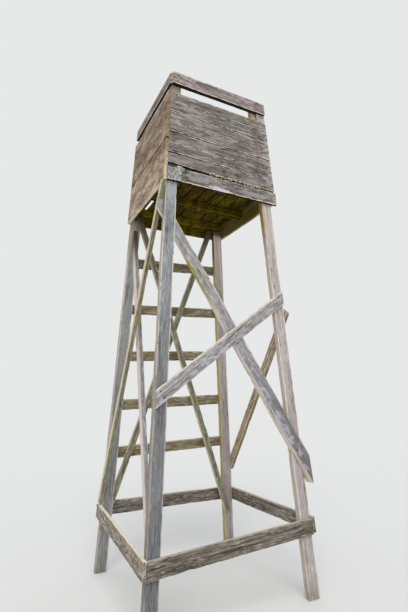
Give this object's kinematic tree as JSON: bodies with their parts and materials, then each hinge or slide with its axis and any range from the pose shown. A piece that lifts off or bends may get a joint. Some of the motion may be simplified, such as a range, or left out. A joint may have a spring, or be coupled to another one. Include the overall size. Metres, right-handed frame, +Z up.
{
  "type": "wooden observation tower",
  "caption": "Open-topped wooden lookout cabin with boarded walls and top rails on splayed legs, with diagonal braces and ladder rungs at the back.",
  "frame": {"origin": "middle of the footprint on the ground, centred under the overall box", "axes": "+Z up; the boarded front looks along -Y; the ladder and entrance are at +Y; +X is to the right seen from the front"},
  "size_m": [1.4254, 1.3256, 4.356],
  "materials": {
    "leg_wood": "weathered, rough sawn",
    "brace_wood": "weathered, rough sawn",
    "floor_wood": "weathered, rough sawn",
    "rung_wood": "weathered, rough sawn",
    "rail_wood": "weathered, rough sawn",
    "wall_wood": "weathered, rough sawn"
  },
  "bodies": {
    "root": {"back_brace_inner": "brace_wood", "back_brace_middle": "brace_wood", "back_skirt": "floor_wood", "base_board_back": "rung_wood", "base_board_front": "rung_wood", "base_board_left": "rung_wood", "base_board_right": "rung_wood", "floor_boards": "floor_wood", "floor_joists": "floor_wood", "front_board_1": "wall_wood", "front_board_2": "wall_wood", "front_board_3": "wall_wood", "front_board_4": "wall_wood", "front_board_5": "wall_wood", "front_board_6": "wall_wood", "front_board_7": "wall_wood", "front_brace_long": "brace_wood", "front_brace_short": "brace_wood", "front_rail": "rail_wood", "front_rail_block": "rail_wood", "front_skirt": "wall_wood", "ladder_rung_1": "rung_wood", "ladder_rung_2": "rung_wood", "ladder_rung_3": "rung_wood", "ladder_rung_4": "rung_wood", "ladder_rung_5": "rung_wood", "left_brace_inner": "brace_wood", "left_brace_outer": "brace_wood", "left_rail": "rail_wood", "left_wall_boards": "wall_wood", "leg_back_left": "leg_wood", "leg_back_right": "leg_wood", "leg_front_left": "leg_wood", "leg_front_right": "leg_wood", "right_brace": "brace_wood", "right_rail": "rail_wood", "right_wall_boards": "wall_wood"}
  },
  "joints": []
}
